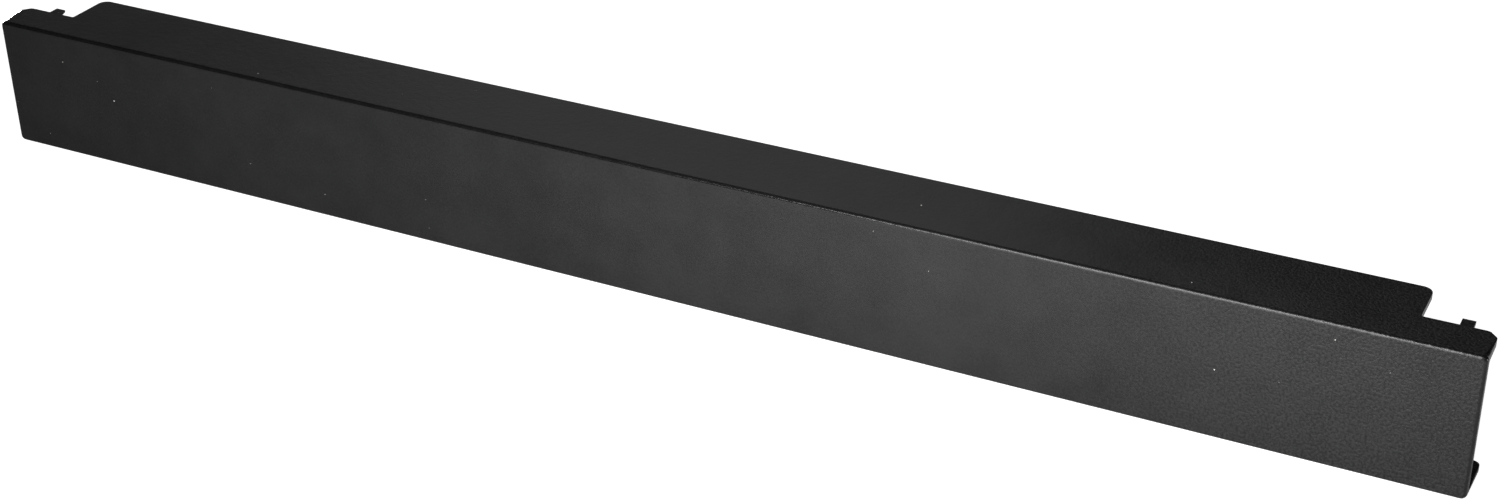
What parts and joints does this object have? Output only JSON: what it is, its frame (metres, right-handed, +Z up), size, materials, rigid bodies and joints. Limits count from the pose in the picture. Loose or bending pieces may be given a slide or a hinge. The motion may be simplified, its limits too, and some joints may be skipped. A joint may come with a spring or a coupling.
{
  "type": "rack blanking panel",
  "caption": "Flat snap-in panel with rear flanges and cross ribs that closes an unused space at the front of an equipment rack.",
  "frame": {"origin": "middle of the footprint: centre of the length and of the depth, on the surface that the lower flange stands on", "axes": "+X along the panel, to the right seen from the front; +Y from the front face to the rear; +Z up"},
  "size_m": [0.4826, 0.0286, 0.0435],
  "materials": {
    "panel_plastic": "black moulded plastic with a fine matte texture"
  },
  "bodies": {
    "root": {"blanking_panel": "panel_plastic"}
  },
  "joints": []
}
